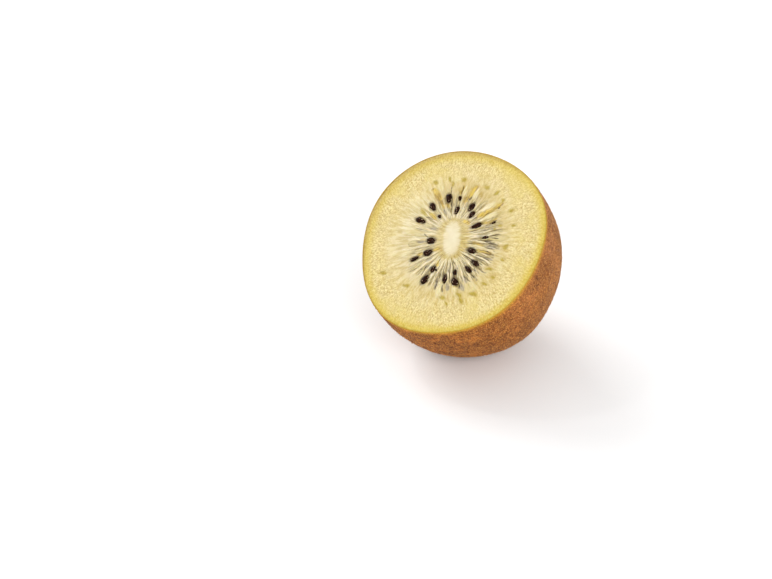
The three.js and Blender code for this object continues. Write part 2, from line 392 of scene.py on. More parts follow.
def ripe_kiwi_flesh():
    """Ripe kiwi flesh cut with a knife: juicy cells a third of a millimetre across, which scatter
    light softly and glisten in fine grains, partly as painted glints. Round the smooth pale core the
    seed chambers show as clear grey jelly between pale threads, which are 0.3 to 0.6 mm apart along
    the rays, with painted shade in the sunken lines and open clefts and painted highlights on the
    raised ridges. Next to the peel the flesh turns a deeper yellow, with painted shade that widens
    and darkens that band on part of the rim."""
    material, tree, patterns = start_material("ripe_kiwi_flesh", {
        "cells": ("outward", 0.32, 3.0, 0.62), "clouds": (None, 3.0, 2.0, 0.5),
        "wide": (None, 7.0, 2.0, 0.5), "threads": ("ray", 0.6, 3.0, 0.62),
        "fine": ("ray", 0.30, 3.0, 0.6), "specks": ("ray", 0.42, 2.0, 0.5),
        "glints": (None, 0.32, 2.0, 0.5),
    })
    colour = lay_colours(tree, patterns, [
        (None, 1, "clouds", 0.36, 0.64, "d4c088", "d3bc70"),
        ("grainy", 0.85, "cells", 0.34, 0.66, "ae924c", "e2d49a"),
        ("grainy", 0.5, "wide", 0.46, 0.66, "cdb864", None),
        # Painted glints: sparse pale specks on the outer flesh stand in for highlights on its wet cells.
        ("grainy", 0.55, "glints", 0.56, 0.68, "ebdfa8", None),
        ("streaky", 0.8, "threads", 0.38, 0.62, "b59b52", "dfd2a4"),
        ("cream", 0.75, "threads", 0.36, 0.64, "bfad7c", "dad0b0"),
        ("ochre", 1, "threads", 0.44, 0.60, "ac9038", None),
        ("chamber", 0.9, "fine", 0.38, 0.62, "7a6b44", "bcab7a"),
        ("jelly", 0.85, "fine", 0.38, 0.62, "877c68", "aea388"),
        ("pulp", 0.8, "fine", 0.4, 0.6, "b09c60", "d2c48c"),
        ("wall", 0.9, "fine", 0.34, 0.58, "bcaa78", "e6dab8"),
        ("fringe", 1, "fine", 0.4, 0.6, "a28640", "cebc78"),
        ("swelling", 0.75, "threads", 0.3, 0.7, "cfc18c", "dacea0"),
        ("amber", 0.88, "threads", 0.34, 0.62, "967618", "d8ba4c"),
        # Darker along the soft edges of the amber stretches.
        ("amber_dark_edge", 0.7, "fine", 0.36, 0.64, "5e4218", "8e6a2a"),
        ("vessel", 0.9, "cells", 0.35, 0.65, "92801c", "b39a30"),
        # Painted shade darkens the sunken fibre lines. The raised ridges have the pale colour of threads,
        # brightened with painted highlights.
        ("line", 0.95, "fine", 0.3, 0.7, "56462c", "7c6a46"),
        ("ridge", 0.95, "fine", 0.3, 0.7, "dacb9e", "ede3c6"),
        ("ring", 0.85, "specks", 0.60, 0.66, "4a3c26", None),
        # Darker round the seeds: partly the grey jelly about them, partly painted shade round the sunken
        # seeds.
        ("halo", 0.9, "fine", 0.36, 0.64, "4c3c22", "857450"),
        # Painted shade: the open clefts are drawn near black for the shade inside them.
        ("painted_cleft_shade", 0.95, "fine", 0.4, 0.62, "2a2012", "625234"),
        ("core", 1, "clouds", 0.3, 0.7, "d5c9a6", "dcd2b4"),
        # The deeper yellow band by the peel is the flesh's own colour. Painted shade widens it and darkens
        # the edge on part of the rim.
        ("rim", 0.85, "cells", 0.34, 0.66, "c0a536", "d0ba52"),
        ("edge", 0.7, "cells", 0.34, 0.66, "957428", "ab8c38"),
    ])
    finish_material(tree, colour, (patterns["cells"], 0.30, 0.48), [
        (patterns["cells"], 0.12, "grainy"), (patterns["fine"], 0.09, "streaky"),
    ], {
        "IOR": 1.36,
        "Subsurface Weight": 0.25,
        "Subsurface Radius": (1.0, 0.62, 0.22),
        "Subsurface Scale": 0.0008,
        "Coat Weight": 0.2,
        "Coat Roughness": 0.16,
        "Coat IOR": 1.33,
    })
    return material


def wet_kiwi_seed():
    """Ripe kiwi seed: a hard, finely pitted coat, brown-black and wet with juice, with pale threads of
    its stalk stuck to it. The pale streaks stand partly for those threads and partly for painted
    highlights of the wet juice. Real pits are about 0.1 mm wide and are drawn at 0.26 mm, as coarse
    as they need to be to show."""
    material, tree, patterns = start_material("wet_kiwi_seed", {
        "pits": (None, 0.26, 2.0, 0.5), "threads": ("along", 0.34, 3.0, 0.6),
    })
    colour = lay_colours(tree, patterns, [
        (None, 1, "pits", 0.36, 0.66, "120602", "321708"),
        # Pale streaks: partly threads of the stalk, partly painted highlights of the juice.
        (None, 0.85, "threads", 0.60, 0.66, "b49c80", None),
    ])
    finish_material(tree, colour, (patterns["pits"], 0.10, 0.30), [(patterns["pits"], 0.08, None)], {
        "IOR": 1.45,
        "Specular IOR Level": 0.06,
    })
    return material


def kiwi_peel():
    """Golden kiwi peel: thin, dull and leathery, tan-brown with darker corky mottling of 0.6 to 8 mm
    and dense golden flecks of a quarter of a millimetre. It is drawn darker, warmer and blotchier
    towards the side the fruit lies on. The last millimetres by the cut are painted with a golden
    glow, as light coming through the thin cut edge would give, most on that lower side."""
    material, tree, patterns = start_material("kiwi_peel", {
        "patches": (None, 8.0, 4.0, 0.6), "mottles": (None, 2.2, 4.0, 0.62),
        "flecks": (None, 0.24, 2.0, 0.6), "specks": (None, 0.6, 3.0, 0.6),
        "blush": (None, 16, 2.0, 0.5), "blotches": (None, 2.8, 5.0, 0.70),
    })
    colour = lay_colours(tree, patterns, [
        (None, 1, "patches", 0.40, 0.60, "84481e", "ae6c38"),
        (None, 0.45, "blush", 0.48, 0.60, "ac6c48", None),
        # Darker, warmer and blotchier towards the side the fruit lies on.
        ("lower_side", 0.9, "patches", 0.40, 0.60, "662a06", "a0520a"),
        # Painted glow: the last millimetres by the cut are drawn golden orange, as light through the thin
        # peel would give.
        ("painted_cut_glow", 0.9, "mottles", 0.30, 0.70, "aa6206", "c8800a"),
        ("mottled", 0.65, "mottles", 0.44, 0.64, "582a10", None),
        (None, 0.75, "flecks", 0.51, 0.60, "eca85a", None),
        ("lower_side", 0.7, "flecks", 0.52, 0.60, "dc9238", None),
        ("mottled", 0.6, "specks", 0.50, 0.60, "421c0a", None),
        ("lower_side", 0.5, "specks", 0.55, 0.62, "341204", None),
        ("lower_side", 0.6, "blotches", 0.47, 0.60, "501f08", None),
        ("scar", 1, "mottles", 0.4, 0.65, "452812", "8e6236"),
        ("lip", 1, "flecks", 0.3, 0.7, "b4902c", "c4a23c"),
    ])
    finish_material(tree, colour, (patterns["flecks"], 0.75, 0.6), [
        (patterns["mottles"], 0.25, None), (patterns["flecks"], 0.14, None),
    ], {
        "IOR": 1.45,
        "Specular IOR Level": 0.15,
        "Sheen Weight": 0.05,
        "Sheen Roughness": 0.45,
        "Sheen Tint": linear("e8c090"),
    })
    return material


def kiwi_down():
    """Down of short dry hairs: dull and golden tan to brown, in tufts under a millimetre across."""
    material, tree, patterns = start_material("kiwi_down", {"tufts": (None, 0.8, 3.0, 0.7)})
    colour = lay_colours(tree, patterns, [
        (None, 1, "tufts", 0.42, 0.60, "84440f", "f0b068"),
        # Darker and warmer towards the side the fruit lies on.
        ("lower_side", 0.8, "tufts", 0.44, 0.56, "562404", "e69c46"),
    ])
    finish_material(tree, colour, (patterns["tufts"], 0.5, 0.7), [], {
        "IOR": 1.5,
        "Specular IOR Level": 0.3,
    })
    return material


# Skin: a thin closed peel, with the woody stem end and a clean cut lip

SKIN_AROUND = 320
SKIN_ROWS = 170
SKIN_INNER_ROWS = 24
# Round the axis, the side the fruit lies on, where peel and down are drawn darker, warmer and blotchier
LOWER_SIDE = math.radians(-110)


def skin_bumps(points, shares):
    """Uneven growth of the skin in millimetres, calmer at the cut, whose outline is the knife's."""
    calm = 1 - 0.85 * smooth_step(shares, 0.86, 1.0)[:, None]
    waves = 0.22 * grain(points, 13, 2) + 0.07 * grain(points + 40, 3.2, 3)
    return calm * waves + 0.02 * grain(points + 90, 0.9, 2)


def toward_lower_side(angle):
    """1 on the side the fruit lies on, where its colours are drawn blotchier and warmer, and 0 on the far
    side.
    """
    return 0.5 + 0.5 * np.cos(angle - LOWER_SIDE)


def pushed_out(points, amount, middle):
    """Points moved away from a middle by an amount."""
    away = points - np.array(middle)
    away /= np.maximum(np.linalg.norm(away, axis=-1, keepdims=True), 1e-9)
    return points + away * amount[..., None]


def build_skin():
    """The peel from the stem end up its outside, over the lip at the cut and down its inside."""
    angles = np.linspace(0, 2 * math.pi, SKIN_AROUND, endpoint=False)
    shares = np.linspace(0, 1, SKIN_ROWS + 1)[1:]
    outside = fruit_layer(angles, shares, 0.0)
    outside = pushed_out(outside, skin_bumps(outside, shares), GROWTH_MIDDLE)
    radius = profile(shares)[0][:, None] / BUTTON_RADIUS
    ripples = np.cos(BUTTON_RIPPLES * angles)[None] * np.exp(-radius ** 4) * radius
    outside[..., 2] += RIPPLE_HEIGHT * ripples
    outside[-1, :, 2] = CUT_PAST_WAIST

    lip = fruit_layer(angles, np.array([1.0]), FLESH_DEPTH)
    lip[..., 2] = CUT_PAST_WAIST + LIP_INSIDE
    crown = 0.7 * outside[-1:] + 0.3 * lip
    crown[..., 2] = CUT_PAST_WAIST + LIP_CROWN
    inner_shares = np.linspace(HIDDEN_START, 0, SKIN_INNER_ROWS + 1)[:-1]
    inside = fruit_layer(angles, inner_shares, under_stem(inner_shares, PEEL))

    vertices = np.concatenate([
        in_frame(stem_tip(0.0)),
        in_frame(np.concatenate([outside, crown, lip]).reshape(-1, 3)),
        in_frame(inside.reshape(-1, 3), PEEL_FLOOR),
        in_frame(stem_tip(PEEL + STEM_CLEARANCE), PEEL_FLOOR),
    ])
    rows = SKIN_ROWS + 2 + SKIN_INNER_ROWS
    faces = net_faces(rows, SKIN_AROUND, 1)
    faces += fan_faces(0, 1, SKIN_AROUND, flip=True)
    faces += fan_faces(len(vertices) - 1, 1 + (rows - 1) * SKIN_AROUND, SKIN_AROUND)

    share_of_row = np.concatenate([shares, [1, 1], inner_shares])
    row_masks = {
        "painted_cut_glow": smooth_step(share_of_row, 0.955, 0.995),
        "mottled": 1 - 0.75 * smooth_step(share_of_row, 0.95, 0.992),
        "lip": np.concatenate([0.6 * smooth_step(shares, 0.975, 1.0), np.ones(2 + SKIN_INNER_ROWS)]),
        "scar": 1 - smooth_step(profile(share_of_row)[0], BUTTON_RADIUS * 0.85, BUTTON_RADIUS * 1.3),
    }
    masks = {}
    for key, values in row_masks.items():
        masks[key] = np.concatenate([values[:1], np.repeat(values, SKIN_AROUND), values[-1:]])
    # The peel is drawn darker, warmer and blotchier towards the side the fruit lies on, and the painted
    # glow by the cut is strongest there.
    masks["lower_side"] = np.pad(np.tile(toward_lower_side(angles), rows), 1, constant_values=0.5)
    masks["mottled"] *= 0.56 + 0.44 * masks["lower_side"]
    masks["painted_cut_glow"] *= 0.4 + 0.6 * masks["lower_side"]
    return make_piece("kiwi_skin", vertices, faces, kiwi_peel(), masks)


# Cut face: a net that follows the rays of the fruit, from the line through its core to the peel

RAYS = 560
FACE_RINGS = 150
UNDER_ROWS = 12
FOCUS = math.sqrt(CORE_HALF_LENGTH ** 2 - CORE_HALF_WIDTH ** 2)

# Fine fibres between the seeds: sunken lines drawn darker as painted shade and raised ridges drawn pale
# with painted highlights, and half their width
LINE_COUNT, RIDGE_COUNT = 150, 170
FIBRE_HALF_WIDTH = 0.08
# Round the face, from the angle in degrees: how clear the seed chambers look, and how far out
# from the core they reach in millimetres
DIRECTIONS = (-180, -140, -110, -85, -60, -20, 20, 45, 70, 110, 140, 160)
CLARITY = (0.36, 0.46, 0.70, 0.95, 1.0, 1.0, 1.0, 0.80, 0.65, 0.65, 0.50, 0.40)
CHAMBER_REACH = (7.5, 8.5, 10.0, 10.5, 11.0, 10.5, 11.0, 11.0, 10.5, 9.5, 8.5, 8.0)
# Where old seed stalks tint the flesh yellow brown
OCHRE_DIRECTIONS = (-180, -140, -60, -20, 20, 45, 60, 100, 130, 150)
OCHRE = (0.0, 0.15, 0.35, 0.30, 0.35, 0.6, 0.9, 0.9, 0.6, 0.1)
# Painted shade on the rim: how much wider the deeper yellow band by the peel and how much darker the
# flesh's edge are drawn, round the face
RIM_SHADE_DIRECTIONS = (-180, -150, -110, 50, 80, 110, 140)
RIM_SHADE = (1.0, 0.8, 0.3, 0.3, 0.8, 1.0, 1.0)


def ray_point(ray, reach):
    """Point on the cut face. Rays leave the long core square to its edge, and straighten outwards."""
    along = FOCUS * np.cosh(reach) * np.cos(ray)
    across = FOCUS * np.sinh(reach) * np.sin(ray)
    cosine, sine = math.cos(CORE_TURN), math.sin(CORE_TURN)
    x = CORE_MIDDLE[0] + along * cosine - across * sine
    y = CORE_MIDDLE[1] + along * sine + across * cosine
    return x, y


def ray_of(x, y):
    """The ray through a point of the cut face."""
    cosine, sine = math.cos(CORE_TURN), math.sin(CORE_TURN)
    dx, dy = x - CORE_MIDDLE[0], y - CORE_MIDDLE[1]
    place = np.arccosh((dx * cosine + dy * sine + 1j * (dy * cosine - dx * sine)) / FOCUS)
    return float(np.where(place.real < 0, -place.imag, place.imag))


def outline_radius(x, y):
    """Distance from the middle of the face to the flesh's edge, towards a point."""
    cut_radius = profile(np.array([1.0]))[0][0]
    return (cut_radius - FLESH_DEPTH) * outline_swell(np.arctan2(y, x))


def reach_of_edge(rays):
    """How far each ray runs before it meets the peel, found by halving."""
    low, high = np.zeros_like(rays), np.full_like(rays, 4.0)
    for _ in range(40):
        middle = (low + high) / 2
        x, y = ray_point(rays, middle)
        outside = np.hypot(x, y) > outline_radius(x, y)
        high = np.where(outside, middle, high)
        low = np.where(outside, low, middle)
    return low


def signed_turn(turn):
    """An angle brought between minus half a turn and half a turn."""
    return (turn + math.pi) % (2 * math.pi) - math.pi


def chamber_walls(draw):
    """The rays that the thin walls between seed chambers follow, uneven but clear of the seeds."""
    pitch = 2 * math.pi / CHAMBER_COUNT
    seed_rays = [ray_of(seed[0], seed[1]) for seed in SEEDS]
    rays = []
    for i in range(CHAMBER_COUNT):
        ray = (i + draw.uniform(-0.26, 0.26)) * pitch
        for seed_ray in seed_rays:
            off = signed_turn(ray - seed_ray)
            if abs(off) < 0.34 * pitch:
                ray = seed_ray + math.copysign(0.42 * pitch, off)
        rays.append(ray % (2 * math.pi))
    return np.sort(np.array(rays))


def chamber_masks(ray, across, from_core, angle):
    """Jelly, pulp, walls and open clefts of the seed chambers, each chamber a long drop."""
    draw = random.Random(11)
    walls = chamber_walls(draw)

    def for_each(low, high):
        return np.array([draw.uniform(low, high) for _ in walls])

    starts = for_each(0.5, 1.4)
    stretch = for_each(-1.3, 1.3)
    openness = for_each(0.15, 1.0)
    sides = np.array([draw.choice((-1, 1)) for _ in walls])
    fullness = for_each(0.2, 1.0)
    cleft_middle = for_each(0.2, 0.7)

    turn = ray % (2 * math.pi)
    index = np.searchsorted(walls, turn) % len(walls)
    before = walls[index - 1]
    width = (walls[index] - before) % (2 * math.pi)
    side = 2 * (((turn - before) % (2 * math.pi)) / width) - 1
    half_width = across * width / 2
    clarity = np.interp(angle, DIRECTIONS, CLARITY, period=360)
    end = np.interp(angle, DIRECTIONS, CHAMBER_REACH, period=360) + stretch[index]
    share = np.clip((from_core - starts[index]) / (end - starts[index]), 0, 1)
    taper = share ** 0.4 * np.sqrt(1 - share ** 5)
    gap = half_width * (taper - np.abs(side)) - 0.13
    chamber = smooth_step(gap, -0.05, 0.18)
    along = np.sin(math.pi * share)
    pulp = smooth_step(gap, 0.18, 0.5) * fullness[index] * along
    cleft = np.exp(-(((gap - 0.10) / 0.09) ** 2)) * (side * sides[index] > 0)
    reached = np.clip(2.5 * (0.75 - np.abs(share - cleft_middle[index]) / 0.4), 0, 1)
    reached *= 1 - smooth_step(share, 0.7, 0.95)
    cleft *= np.clip(1.8 * openness[index] - 0.5, 0, 1) * reached * clarity
    wall = (1 - smooth_step(half_width * (1 - np.abs(side)), 0.10, 0.26)) * along ** 0.5
    return chamber, pulp, cleft, wall, clarity


def stretch_mask(x, y, stretches, softness, taper):
    """1 on straight stretches of a width, given by both ends, and 0 off them. They may taper."""
    mask = np.zeros_like(x)
    for x0, y0, x1, y1, width in stretches:
        dx, dy = x1 - x0, y1 - y0
        share = np.clip(((x - x0) * dx + (y - y0) * dy) / (dx * dx + dy * dy), 0, 1)
        distance = np.hypot(x - x0 - share * dx, y - y0 - share * dy)
        half = width / 2 * (1 - taper * (1 - np.sin(math.pi * (0.06 + 0.88 * share)) ** 0.5))
        mask = np.maximum(mask, 1 - smooth_step(distance, half - softness, half + softness))
    return mask


def fibre_mask(ray, across, from_core, clarity, count, order):
    """Fine fibres along the rays between the seeds, each with its own start, end and strength."""
    draw = random.Random(order)
    mask = np.zeros_like(ray)
    for _ in range(count):
        middle = draw.uniform(0, 2 * math.pi)
        start = draw.uniform(0.2, 6.5)
        end = start + draw.uniform(1.5, 5.5)
        strength = draw.uniform(0.3, 1.0)
        sway = draw.uniform(-0.02, 0.02)
        share = (from_core - start) / (end - start)
        off = signed_turn(ray - middle - sway * np.sin(4 * share))
        half = FIBRE_HALF_WIDTH * np.sqrt(np.clip(1 - (2 * share - 1) ** 2, 0, 1))
        line = 1 - smooth_step(np.abs(off) * across, 0.4 * half, half + 0.06)
        mask = np.maximum(mask, strength * line * (half > 0))
    return mask * clarity


def oval_share(x, y, middle_x, middle_y, length, width, turn):
    """0 at the middle of an oval, 1 on its edge and more outside."""
    cosine, sine = math.cos(turn), math.sin(turn)
    dx, dy = x - middle_x, y - middle_y
    return np.hypot((dx * cosine + dy * sine) / (length / 2), (dy * cosine - dx * sine) / (width / 2))


def oval_mask(x, y, ovals, low, high):
    """1 inside ovals, fading out between two shares of their size."""
    mask = np.zeros_like(x)
    for middle_x, middle_y, length, width, turn in ovals:
        share = oval_share(x, y, middle_x, middle_y, length, width, math.radians(turn))
        mask = np.maximum(mask, 1 - smooth_step(share, low, high))
    return mask


def seed_ovals(seeds):
    """The outline of each seed, with its turn measured from the face's x direction."""
    return [(x, y, length, width, math.degrees(math.atan2(y, x)) + turn)
            for x, y, length, width, turn in seeds]


def growth_place(turn, outward, round_way, stretch):
    """Where a pattern that follows the growth is taken from: so many millimetres from its axis all
    round the face, and the way outwards, slowed down so that the pattern is drawn out along it."""
    return np.stack([np.cos(turn) * round_way, np.sin(turn) * round_way, outward * stretch], -1)


def face_masks(x, y, ray, reach):
    """What each point of the cut face is made of, as shares from 0 to 1, and its relief in mm."""
    radius = np.hypot(x, y)
    angle = np.arctan2(y, x)
    across = FOCUS * np.sqrt(np.sinh(reach) ** 2 + np.sin(ray) ** 2)
    from_core = across - np.hypot(CORE_HALF_WIDTH, FOCUS * np.sin(ray))
    edge_gap = outline_radius(x, y) - radius
    flat = np.stack([x, y, np.zeros_like(x)], -1)
    along_rays = growth_place(ray, from_core, round_way=14, stretch=0.2)
    # Uneven fields with lumps of these sizes in mm, each taken from its own stretch of noise
    lumps, wander, fuzz, side_lumps, swells, grit = (
        grain(flat + 30 * i, size, 2) for i, size in enumerate((2.0, 5.0, 0.8, 2.0, 9.0, 0.6)))
    warped_x, warped_y = x + 0.22 * lumps + 0.10 * fuzz, y + 0.22 * side_lumps

    uneven_ray = ray + (0.28 * wander + 0.07 * lumps) / np.maximum(across, 1)
    degrees = np.degrees(angle)
    chamber, pulp, cleft, wall, clarity = chamber_masks(uneven_ray, across, from_core, degrees)
    line = fibre_mask(uneven_ray, across, from_core, clarity, LINE_COUNT, 21)
    ridge = fibre_mask(uneven_ray, across, from_core, clarity, RIDGE_COUNT, 22)
    core_share = oval_share(
        warped_x, warped_y, *CORE_MIDDLE, 2 * CORE_HALF_LENGTH, 2 * CORE_HALF_WIDTH, CORE_TURN)
    frayed = grain(along_rays, 0.8, 2)
    core = 1 - smooth_step(core_share + 0.08 * fuzz + 0.16 * core_share * frayed, 0.35, 1.2)
    core_swell = 1 - smooth_step(core_share, 0.2, 1.3)
    fringe = smooth_step(core_share, 0.8, 1.1) * (1 - smooth_step(from_core + 0.3 * lumps, 0.8, 2.4))

    amber = stretch_mask(warped_x, warped_y, AMBER, 0.40, 0.45) * (0.9 + 0.1 * np.tanh(3 * fuzz))
    clefts = stretch_mask(warped_x, warped_y, CLEFTS, 0.13, 0.8) * np.clip(0.75 + 0.8 * fuzz, 0.2, 1)
    swelling = oval_mask(x, y, SWELLINGS, 0.5, 1.1)
    vessel = oval_mask(warped_x, warped_y, VESSELS, 0.4, 1.5)
    jelly = oval_mask(warped_x, warped_y, JELLY_SPOTS, 0.5, 1.1)
    seeds = seed_ovals(SEEDS)
    buried = seed_ovals([seed[:4] + (0,) for seed in BURIED_SEEDS])
    socket = oval_mask(x, y, seeds, 0.9, 1.5)
    halo = oval_mask(warped_x, warped_y, seeds, 0.9, 1.65)
    halo = np.maximum(halo, 0.6 * oval_mask(warped_x, warped_y, buried, 0.6, 1.3))

    inner = 1 - smooth_step(radius, 12, 17)
    quiet = 1.12 * (1 - clarity)
    left = quiet * (1 - smooth_step(radius + wander, 15, 23))
    ochre = smooth_step(radius, 9, 12) * (1 - smooth_step(radius + wander, 15, 18.5))
    ochre *= np.interp(degrees, OCHRE_DIRECTIONS, OCHRE, period=360) * (1 - swelling)
    cream = np.clip(0.9 * inner + 0.9 * left, 0, 1)
    # How much painted shade lies on the rim, round the face.
    rim_shade = np.interp(degrees, RIM_SHADE_DIRECTIONS, RIM_SHADE, period=360)
    streaky = 1 - smooth_step(radius + 1.2 * wander, 14, 22)
    ring = smooth_step(from_core, 1.0, 2.5) * (1 - smooth_step(radius + wander, 12, 15.5))
    chamber_end = 1 - smooth_step(radius, 12.5, 16)
    seen = clarity * (1 - swelling) * (1 - 0.7 * amber)
    line *= 1 - 0.8 * swelling
    relief = (
        0.22 * core_swell
        + 0.10 * swells
        - 0.24 * chamber * seen
        + 0.18 * pulp * seen
        - 0.20 * cleft
        - 0.24 * clefts
        - 0.10 * line
        + 0.09 * ridge
        - 0.20 * amber * (1 - swelling)
        + 0.42 * swelling * (0.4 + 0.6 * clarity)
        - 0.22 * socket
        + 0.045 * lumps * (1 - core)
        + 0.030 * fuzz * (1 - core)
        + 0.22 * socket * grit
        - 0.08 * (1 - smooth_step(edge_gap, 0.0, 1.1)) ** 2
        + 0.08 * np.exp(-((edge_gap - 1.3) / 0.8) ** 2)
    )
    masks = {
        "core": core,
        "fringe": fringe * (0.4 + 0.6 * clarity),
        "grainy": (1 - 0.85 * left) * (1 - core) * (1 - 0.5 * inner),
        "cream": cream,
        "ochre": ochre,
        "ring": ring * clarity * (1 - swelling) * (1 - ridge),
        "streaky": streaky * (1 - core) * (1 - 0.45 * left),
        "chamber": chamber_end * chamber * (0.35 + 0.58 * clarity) * (1 - 0.8 * swelling),
        "pulp": pulp * (1 - jelly),
        "wall": wall * (0.25 + 0.75 * clarity) * (1 - swelling),
        "jelly": jelly,
        "amber": amber,
        # Darker along the edges of the amber stretches, where the lumps allow.
        "amber_dark_edge": 4 * amber * (1 - amber) * np.clip(1.6 * lumps - 0.1, 0, 1),
        "swelling": swelling * (1 - 0.8 * amber) * (0.45 + 0.55 * clarity),
        "vessel": vessel,
        # The fibre lines carry painted shade, and the ridges painted highlights.
        "line": line * (1 - 0.6 * amber),
        "ridge": ridge * (1 - amber) * (1 - clefts),
        # Partly grey jelly, partly painted shade round the sunken seeds.
        "halo": halo * (0.75 + 0.25 * clarity),
        # Painted shade in the open clefts.
        "painted_cleft_shade": np.maximum(cleft * (1 - swelling), clefts),
        # Painted shade draws the band by the peel wider and the edge darker round part of the face.
        "rim": 1 - smooth_step(edge_gap + 0.25 * lumps, 0.4, 2.9 + 1.5 * rim_shade),
        "edge": (1 - smooth_step(edge_gap, 0.0, 0.32 + 1.9 * rim_shade ** 2)) * (0.3 + 0.7 * rim_shade),
        "ray": along_rays,
        "outward": growth_place(angle, radius, round_way=22, stretch=0.55),
    }
    return relief, masks


def close_core_line(piece):
    """Joins the points that meet on the line through the core, so that the face has no slit."""
    net = bmesh.new()
    net.from_mesh(piece.data)
    bmesh.ops.remove_doubles(net, verts=net.verts, dist=1e-6)
    bmesh.ops.dissolve_degenerate(net, edges=net.edges, dist=1e-7)
    bmesh.ops.recalc_face_normals(net, faces=net.faces)
    net.to_mesh(piece.data)
    net.free()


def build_flesh():
    """The whole body of the fruit: its cut face, and on under the peel down to the stem end."""
    rays = np.linspace(0, 2 * math.pi, RAYS, endpoint=False)
    edge = reach_of_edge(rays)
    share = np.linspace(0, 1, FACE_RINGS + 1)[:, None]
    reach = np.arcsinh(share * np.sinh(edge)[None])
    ray = np.repeat(rays[None], FACE_RINGS + 1, 0)
    x, y = ray_point(ray, reach)
    relief, masks = face_masks(x, y, ray, reach)
    top = np.stack([x, y, CUT_PAST_WAIST + relief], -1)

    angles = np.arctan2(y[-1], x[-1])
    depth = PEEL + FLESH_GAP
    under_shares = np.linspace(HIDDEN_START, 0, UNDER_ROWS + 1)[:-1]
    under = fruit_layer(angles, under_shares, under_stem(under_shares, depth))
    points = [top.reshape(-1, 3), under.reshape(-1, 3), stem_tip(depth + STEM_CLEARANCE + FLESH_GAP)]
    vertices = in_frame(np.concatenate(points), FLESH_FLOOR)
    rows = FACE_RINGS + 1 + UNDER_ROWS
    faces = net_faces(rows, RAYS) + fan_faces(len(vertices) - 1, (rows - 1) * RAYS, RAYS)
    hidden = len(vertices) - x.size
    flat_masks = {}
    for key, values in masks.items():
        flat = values.reshape(x.size, -1)
        flat_masks[key] = np.concatenate([flat, np.zeros((hidden, flat.shape[1]))]).squeeze()
    piece = make_piece("kiwi_flesh", vertices, faces, ripe_kiwi_flesh(), flat_masks)
    close_core_line(piece)
    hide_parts(NODE)
    return piece


# Seeds

SEED_AROUND, SEED_ROWS = 32, 22
SEED_DENTS, SEED_DENT_SIZE = 0.11, 0.8
# How far a seed may tip and roll out of the cut's plane, in degrees
SEED_TIP, SEED_ROLL = 9, 14


def seed_form(draw, x, y, length, width, turn, sink):
    """One flat drop, its narrow end at the middle of the face, lying a little askew in the flesh."""
    rows = np.linspace(0, math.pi, SEED_ROWS + 1)[1:-1]
    around = np.linspace(0, 2 * math.pi, SEED_AROUND, endpoint=False)
    along = -np.cos(rows)[:, None] * np.ones(SEED_AROUND)[None]
    narrow = np.sin(rows)[:, None] * (1 + SEED_POINT * along)
    points = np.stack([along, narrow * np.cos(around), narrow * np.sin(around)], -1)
    points = np.concatenate([[(-1.0, 0, 0)], points.reshape(-1, 3), [(1.0, 0, 0)]])
    points *= (length / 2, width / 2, SEED_THICKNESS / 2)
    lengthwise = points * (0.25, 1, 1) + draw.uniform(0, 50)
    dents = grain(points + draw.uniform(0, 50), SEED_DENT_SIZE, 3)
    points = pushed_out(points, SEED_DENTS * dents, (0.0, 0.0, 0.0))
    heading = math.atan2(y, x) + math.radians(turn)
    lean = Matrix.Rotation(math.radians(draw.uniform(-SEED_TIP, SEED_TIP)), 3, "Y")
    roll = Matrix.Rotation(math.radians(draw.uniform(-SEED_ROLL, SEED_ROLL)), 3, "X")
    spin = Matrix.Rotation(heading, 3, "Z")
    points = points @ np.array(spin @ lean @ roll).T
    points += (x, y, CUT_PAST_WAIST - sink)
    faces = fan_faces(0, 1, SEED_AROUND, flip=True)
    faces += net_faces(SEED_ROWS - 1, SEED_AROUND, 1)
    faces += fan_faces(len(points) - 1, 1 + (SEED_ROWS - 2) * SEED_AROUND, SEED_AROUND)
    return points, faces, lengthwise


def build_seeds():
    """The whole seeds and the buried ones, all in one mesh."""
    draw = random.Random(5)
    forms = [seed_form(draw, *seed, SEED_SINK) for seed in SEEDS]
    forms += [seed_form(draw, x, y, length, width, 0, sink) for x, y, length, width, sink in BURIED_SEEDS]
    vertices, faces, along = [], [], []
    for points, seed_faces, lengthwise in forms:
        first = sum(len(v) for v in vertices)
        vertices.append(points)
        along.append(lengthwise)
        faces += [tuple(first + corner for corner in face) for face in seed_faces]
    placed = in_frame(np.concatenate(vertices))
    masks = {"along": np.concatenate(along)}
    return make_piece("kiwi_seeds", placed, faces, wet_kiwi_seed(), masks)


# Down: short hairs that lie nearly flat on the skin, three-sided and tapered

HAIR_COUNT = 47000
HAIR_LENGTH = (0.35, 1.0)
HAIR_HALF_WIDTH = 0.030
HAIR_ROOT_DEPTH = 0.03
# How far the hairs rise from the skin, in degrees, and how widely their headings spread about the
# way down to the stem end, in radians
HAIR_LIFT = (6, 26)
HAIR_SPREAD = 0.9
# Hairs that would reach the table or the cut are left out
HAIR_OFF_TABLE, HAIR_BELOW_CUT = 0.1, 0.05
# Finer steps of the profile than this don't change how evenly the roots are spread
PROFILE_STEPS = 400


